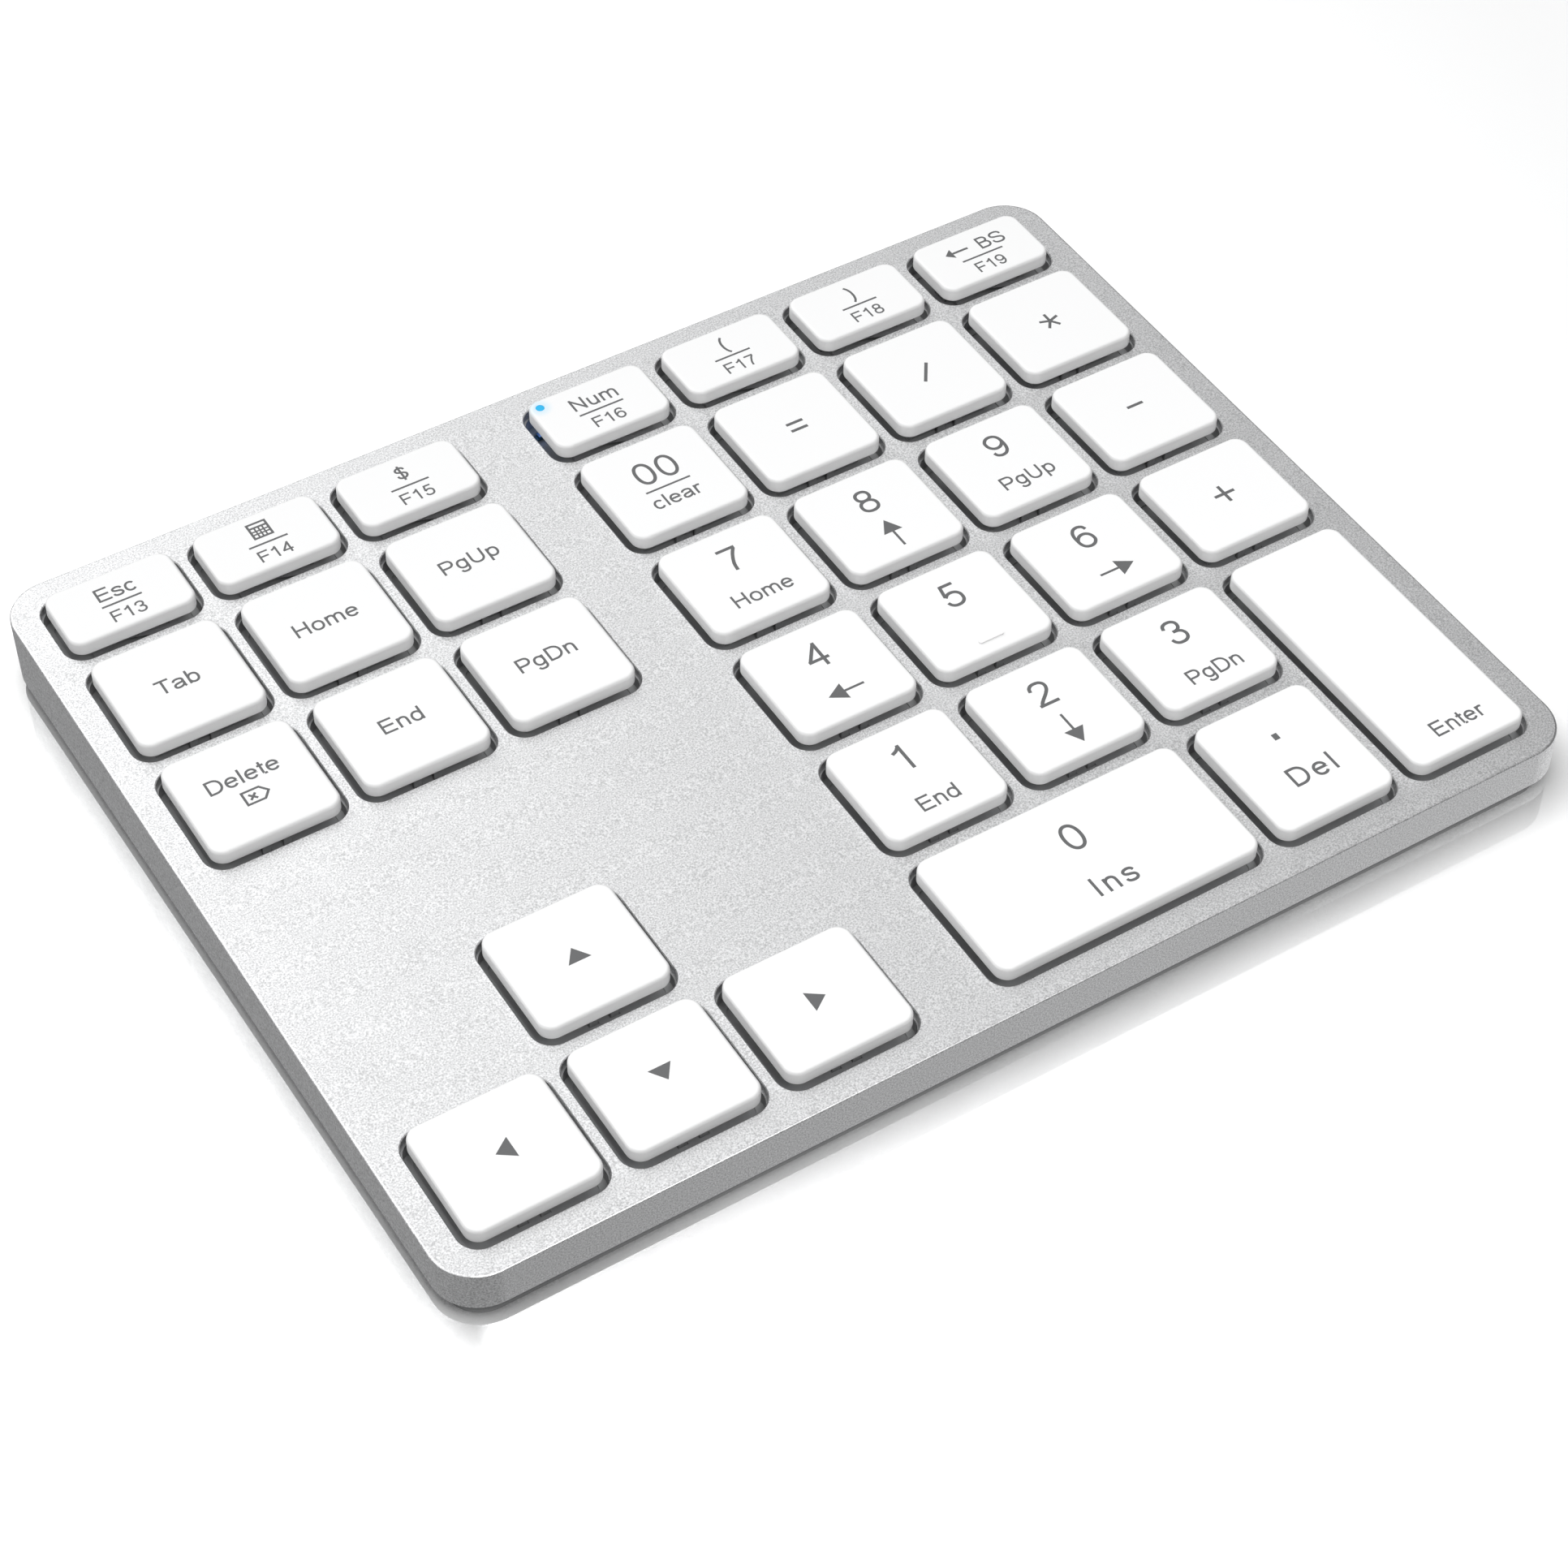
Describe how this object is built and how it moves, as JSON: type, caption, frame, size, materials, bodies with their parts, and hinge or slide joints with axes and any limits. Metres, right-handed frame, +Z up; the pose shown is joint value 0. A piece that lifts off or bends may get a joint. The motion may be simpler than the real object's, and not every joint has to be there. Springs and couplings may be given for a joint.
{
  "type": "numeric keypad",
  "caption": "Slim wedge-shaped wireless numeric keypad with an aluminium case, white scissor keys, navigation keys and an arrow cluster.",
  "frame": {"origin": "on the table under the centre of the case, at the level of the feet", "axes": "+X to the user's right along the long side, +Y away from the user towards the rear edge, +Z up"},
  "size_m": [0.1462, 0.1132, 0.0123],
  "materials": {
    "case_aluminium": "bead-blasted and anodised, fine satin grain",
    "cover_plastic": "fine matt texture",
    "keycap_plastic": "satin white with grey printed legends",
    "foot_rubber": "matt",
    "screw_steel": "zinc plated",
    "plate_steel": "dark galvanised sheet",
    "membrane_film": "smoke-coloured polyester film",
    "dome_rubber": "translucent silicone",
    "link_plastic": "grey acetal",
    "wire_steel": "drawn spring wire",
    "liner_plastic": "grey, thin moulded",
    "light_window": "clear, lit blue",
    "led_lens": "clear lens on a white base",
    "board_laminate": "green solder mask",
    "shield_metal": "tinned steel",
    "connector_plastic": "natural nylon",
    "battery_wrap": "aluminised pouch",
    "lead_insulation": "PVC insulation",
    "switch_plastic": "moulded black",
    "button_plastic": "fine matt texture"
  },
  "bodies": {
    "case": {"top_case": "case_aluminium", "bottom_cover": "cover_plastic", "rubber_feet": "foot_rubber", "case_screws": "screw_steel", "plate_screws": "screw_steel", "support_plate": "plate_steel", "contact_membrane": "membrane_film", "membrane_tail": "membrane_film", "rubber_domes": "dome_rubber", "scissor_outer_links": "link_plastic", "scissor_inner_links": "link_plastic", "stabiliser_wires": "wire_steel", "key_well_liners": "liner_plastic", "num_lock_led": "led_lens", "main_board": "board_laminate", "wireless_controller": "shield_metal", "tail_connector": "connector_plastic", "battery": "battery_wrap", "battery_leads": "lead_insulation", "charging_port": "shield_metal", "power_switch_body": "switch_plastic", "pairing_switch": "switch_plastic"},
    "key_esc": {"keycap_esc": "keycap_plastic"},
    "key_calculator": {"keycap_calculator": "keycap_plastic"},
    "key_dollar": {"keycap_dollar": "keycap_plastic"},
    "key_tab": {"keycap_tab": "keycap_plastic"},
    "key_home": {"keycap_home": "keycap_plastic"},
    "key_page_up": {"keycap_page_up": "keycap_plastic"},
    "key_delete": {"keycap_delete": "keycap_plastic"},
    "key_end": {"keycap_end": "keycap_plastic"},
    "key_page_down": {"keycap_page_down": "keycap_plastic"},
    "key_arrow_up": {"keycap_arrow_up": "keycap_plastic"},
    "key_arrow_left": {"keycap_arrow_left": "keycap_plastic"},
    "key_arrow_down": {"keycap_arrow_down": "keycap_plastic"},
    "key_arrow_right": {"keycap_arrow_right": "keycap_plastic"},
    "key_num": {"keycap_num": "keycap_plastic", "num_light_window": "light_window"},
    "key_open_bracket": {"keycap_open_bracket": "keycap_plastic"},
    "key_close_bracket": {"keycap_close_bracket": "keycap_plastic"},
    "key_backspace": {"keycap_backspace": "keycap_plastic"},
    "key_double_zero": {"keycap_double_zero": "keycap_plastic"},
    "key_equals": {"keycap_equals": "keycap_plastic"},
    "key_divide": {"keycap_divide": "keycap_plastic"},
    "key_multiply": {"keycap_multiply": "keycap_plastic"},
    "key_7": {"keycap_7": "keycap_plastic"},
    "key_8": {"keycap_8": "keycap_plastic"},
    "key_9": {"keycap_9": "keycap_plastic"},
    "key_minus": {"keycap_minus": "keycap_plastic"},
    "key_4": {"keycap_4": "keycap_plastic"},
    "key_5": {"keycap_5": "keycap_plastic"},
    "key_6": {"keycap_6": "keycap_plastic"},
    "key_plus": {"keycap_plus": "keycap_plastic"},
    "key_1": {"keycap_1": "keycap_plastic"},
    "key_2": {"keycap_2": "keycap_plastic"},
    "key_3": {"keycap_3": "keycap_plastic"},
    "key_enter": {"keycap_enter": "keycap_plastic"},
    "key_0": {"keycap_0": "keycap_plastic"},
    "key_decimal": {"keycap_decimal": "keycap_plastic"},
    "power_slider": {"power_switch_slider": "switch_plastic"},
    "pairing_button": {"pairing_button": "button_plastic"}
  },
  "joints": [
    {"name": "key_esc_press", "type": "slide", "parent": "case", "child": "key_esc", "axis": [0, 0.0349, -0.9994], "range_m": [0, 0.0018], "stiffness_N_per_m": 200, "springref_m": -0.0015, "deforming": ["rubber_domes", "scissor_outer_links", "scissor_inner_links"]},
    {"name": "key_calculator_press", "type": "slide", "parent": "case", "child": "key_calculator", "axis": [0, 0.0349, -0.9994], "range_m": [0, 0.0018], "stiffness_N_per_m": 200, "springref_m": -0.0015, "deforming": ["rubber_domes", "scissor_outer_links", "scissor_inner_links"]},
    {"name": "key_dollar_press", "type": "slide", "parent": "case", "child": "key_dollar", "axis": [0, 0.0349, -0.9994], "range_m": [0, 0.0018], "stiffness_N_per_m": 200, "springref_m": -0.0015, "deforming": ["rubber_domes", "scissor_outer_links", "scissor_inner_links"]},
    {"name": "key_tab_press", "type": "slide", "parent": "case", "child": "key_tab", "axis": [0, 0.0349, -0.9994], "range_m": [0, 0.0018], "stiffness_N_per_m": 200, "springref_m": -0.0015, "deforming": ["rubber_domes", "scissor_outer_links", "scissor_inner_links"]},
    {"name": "key_home_press", "type": "slide", "parent": "case", "child": "key_home", "axis": [0, 0.0349, -0.9994], "range_m": [0, 0.0018], "stiffness_N_per_m": 200, "springref_m": -0.0015, "deforming": ["rubber_domes", "scissor_outer_links", "scissor_inner_links"]},
    {"name": "key_page_up_press", "type": "slide", "parent": "case", "child": "key_page_up", "axis": [0, 0.0349, -0.9994], "range_m": [0, 0.0018], "stiffness_N_per_m": 200, "springref_m": -0.0015, "deforming": ["rubber_domes", "scissor_outer_links", "scissor_inner_links"]},
    {"name": "key_delete_press", "type": "slide", "parent": "case", "child": "key_delete", "axis": [0, 0.0349, -0.9994], "range_m": [0, 0.0018], "stiffness_N_per_m": 200, "springref_m": -0.0015, "deforming": ["rubber_domes", "scissor_outer_links", "scissor_inner_links"]},
    {"name": "key_end_press", "type": "slide", "parent": "case", "child": "key_end", "axis": [0, 0.0349, -0.9994], "range_m": [0, 0.0018], "stiffness_N_per_m": 200, "springref_m": -0.0015, "deforming": ["rubber_domes", "scissor_outer_links", "scissor_inner_links"]},
    {"name": "key_page_down_press", "type": "slide", "parent": "case", "child": "key_page_down", "axis": [0, 0.0349, -0.9994], "range_m": [0, 0.0018], "stiffness_N_per_m": 200, "springref_m": -0.0015, "deforming": ["rubber_domes", "scissor_outer_links", "scissor_inner_links"]},
    {"name": "key_arrow_up_press", "type": "slide", "parent": "case", "child": "key_arrow_up", "axis": [0, 0.0349, -0.9994], "range_m": [0, 0.0018], "stiffness_N_per_m": 200, "springref_m": -0.0015, "deforming": ["rubber_domes", "scissor_outer_links", "scissor_inner_links"]},
    {"name": "key_arrow_left_press", "type": "slide", "parent": "case", "child": "key_arrow_left", "axis": [0, 0.0349, -0.9994], "range_m": [0, 0.0018], "stiffness_N_per_m": 200, "springref_m": -0.0015, "deforming": ["rubber_domes", "scissor_outer_links", "scissor_inner_links"]},
    {"name": "key_arrow_down_press", "type": "slide", "parent": "case", "child": "key_arrow_down", "axis": [0, 0.0349, -0.9994], "range_m": [0, 0.0018], "stiffness_N_per_m": 200, "springref_m": -0.0015, "deforming": ["rubber_domes", "scissor_outer_links", "scissor_inner_links"]},
    {"name": "key_arrow_right_press", "type": "slide", "parent": "case", "child": "key_arrow_right", "axis": [0, 0.0349, -0.9994], "range_m": [0, 0.0018], "stiffness_N_per_m": 200, "springref_m": -0.0015, "deforming": ["rubber_domes", "scissor_outer_links", "scissor_inner_links"]},
    {"name": "key_num_press", "type": "slide", "parent": "case", "child": "key_num", "axis": [0, 0.0349, -0.9994], "range_m": [0, 0.0018], "stiffness_N_per_m": 200, "springref_m": -0.0015, "deforming": ["rubber_domes", "scissor_outer_links", "scissor_inner_links"]},
    {"name": "key_open_bracket_press", "type": "slide", "parent": "case", "child": "key_open_bracket", "axis": [0, 0.0349, -0.9994], "range_m": [0, 0.0018], "stiffness_N_per_m": 200, "springref_m": -0.0015, "deforming": ["rubber_domes", "scissor_outer_links", "scissor_inner_links"]},
    {"name": "key_close_bracket_press", "type": "slide", "parent": "case", "child": "key_close_bracket", "axis": [0, 0.0349, -0.9994], "range_m": [0, 0.0018], "stiffness_N_per_m": 200, "springref_m": -0.0015, "deforming": ["rubber_domes", "scissor_outer_links", "scissor_inner_links"]},
    {"name": "key_backspace_press", "type": "slide", "parent": "case", "child": "key_backspace", "axis": [0, 0.0349, -0.9994], "range_m": [0, 0.0018], "stiffness_N_per_m": 200, "springref_m": -0.0015, "deforming": ["rubber_domes", "scissor_outer_links", "scissor_inner_links"]},
    {"name": "key_double_zero_press", "type": "slide", "parent": "case", "child": "key_double_zero", "axis": [0, 0.0349, -0.9994], "range_m": [0, 0.0018], "stiffness_N_per_m": 200, "springref_m": -0.0015, "deforming": ["rubber_domes", "scissor_outer_links", "scissor_inner_links"]},
    {"name": "key_equals_press", "type": "slide", "parent": "case", "child": "key_equals", "axis": [0, 0.0349, -0.9994], "range_m": [0, 0.0018], "stiffness_N_per_m": 200, "springref_m": -0.0015, "deforming": ["rubber_domes", "scissor_outer_links", "scissor_inner_links"]},
    {"name": "key_divide_press", "type": "slide", "parent": "case", "child": "key_divide", "axis": [0, 0.0349, -0.9994], "range_m": [0, 0.0018], "stiffness_N_per_m": 200, "springref_m": -0.0015, "deforming": ["rubber_domes", "scissor_outer_links", "scissor_inner_links"]},
    {"name": "key_multiply_press", "type": "slide", "parent": "case", "child": "key_multiply", "axis": [0, 0.0349, -0.9994], "range_m": [0, 0.0018], "stiffness_N_per_m": 200, "springref_m": -0.0015, "deforming": ["rubber_domes", "scissor_outer_links", "scissor_inner_links"]},
    {"name": "key_7_press", "type": "slide", "parent": "case", "child": "key_7", "axis": [0, 0.0349, -0.9994], "range_m": [0, 0.0018], "stiffness_N_per_m": 200, "springref_m": -0.0015, "deforming": ["rubber_domes", "scissor_outer_links", "scissor_inner_links"]},
    {"name": "key_8_press", "type": "slide", "parent": "case", "child": "key_8", "axis": [0, 0.0349, -0.9994], "range_m": [0, 0.0018], "stiffness_N_per_m": 200, "springref_m": -0.0015, "deforming": ["rubber_domes", "scissor_outer_links", "scissor_inner_links"]},
    {"name": "key_9_press", "type": "slide", "parent": "case", "child": "key_9", "axis": [0, 0.0349, -0.9994], "range_m": [0, 0.0018], "stiffness_N_per_m": 200, "springref_m": -0.0015, "deforming": ["rubber_domes", "scissor_outer_links", "scissor_inner_links"]},
    {"name": "key_minus_press", "type": "slide", "parent": "case", "child": "key_minus", "axis": [0, 0.0349, -0.9994], "range_m": [0, 0.0018], "stiffness_N_per_m": 200, "springref_m": -0.0015, "deforming": ["rubber_domes", "scissor_outer_links", "scissor_inner_links"]},
    {"name": "key_4_press", "type": "slide", "parent": "case", "child": "key_4", "axis": [0, 0.0349, -0.9994], "range_m": [0, 0.0018], "stiffness_N_per_m": 200, "springref_m": -0.0015, "deforming": ["rubber_domes", "scissor_outer_links", "scissor_inner_links"]},
    {"name": "key_5_press", "type": "slide", "parent": "case", "child": "key_5", "axis": [0, 0.0349, -0.9994], "range_m": [0, 0.0018], "stiffness_N_per_m": 200, "springref_m": -0.0015, "deforming": ["rubber_domes", "scissor_outer_links", "scissor_inner_links"]},
    {"name": "key_6_press", "type": "slide", "parent": "case", "child": "key_6", "axis": [0, 0.0349, -0.9994], "range_m": [0, 0.0018], "stiffness_N_per_m": 200, "springref_m": -0.0015, "deforming": ["rubber_domes", "scissor_outer_links", "scissor_inner_links"]},
    {"name": "key_plus_press", "type": "slide", "parent": "case", "child": "key_plus", "axis": [0, 0.0349, -0.9994], "range_m": [0, 0.0018], "stiffness_N_per_m": 200, "springref_m": -0.0015, "deforming": ["rubber_domes", "scissor_outer_links", "scissor_inner_links"]},
    {"name": "key_1_press", "type": "slide", "parent": "case", "child": "key_1", "axis": [0, 0.0349, -0.9994], "range_m": [0, 0.0018], "stiffness_N_per_m": 200, "springref_m": -0.0015, "deforming": ["rubber_domes", "scissor_outer_links", "scissor_inner_links"]},
    {"name": "key_2_press", "type": "slide", "parent": "case", "child": "key_2", "axis": [0, 0.0349, -0.9994], "range_m": [0, 0.0018], "stiffness_N_per_m": 200, "springref_m": -0.0015, "deforming": ["rubber_domes", "scissor_outer_links", "scissor_inner_links"]},
    {"name": "key_3_press", "type": "slide", "parent": "case", "child": "key_3", "axis": [0, 0.0349, -0.9994], "range_m": [0, 0.0018], "stiffness_N_per_m": 200, "springref_m": -0.0015, "deforming": ["rubber_domes", "scissor_outer_links", "scissor_inner_links"]},
    {"name": "key_enter_press", "type": "slide", "parent": "case", "child": "key_enter", "axis": [0, 0.0349, -0.9994], "range_m": [0, 0.0018], "stiffness_N_per_m": 200, "springref_m": -0.0015, "deforming": ["rubber_domes", "scissor_outer_links", "scissor_inner_links", "stabiliser_wires"]},
    {"name": "key_0_press", "type": "slide", "parent": "case", "child": "key_0", "axis": [0, 0.0349, -0.9994], "range_m": [0, 0.0018], "stiffness_N_per_m": 200, "springref_m": -0.0015, "deforming": ["rubber_domes", "scissor_outer_links", "scissor_inner_links", "stabiliser_wires"]},
    {"name": "key_decimal_press", "type": "slide", "parent": "case", "child": "key_decimal", "axis": [0, 0.0349, -0.9994], "range_m": [0, 0.0018], "stiffness_N_per_m": 200, "springref_m": -0.0015, "deforming": ["rubber_domes", "scissor_outer_links", "scissor_inner_links"]},
    {"name": "power_slide", "type": "slide", "parent": "case", "child": "power_slider", "axis": [1, 0, 0], "range_m": [0, 0.002]},
    {"name": "pairing_press", "type": "slide", "parent": "case", "child": "pairing_button", "axis": [0, 0, 1], "range_m": [0, 0.0002], "stiffness_N_per_m": 4000, "springref_m": -0.0001}
  ]
}
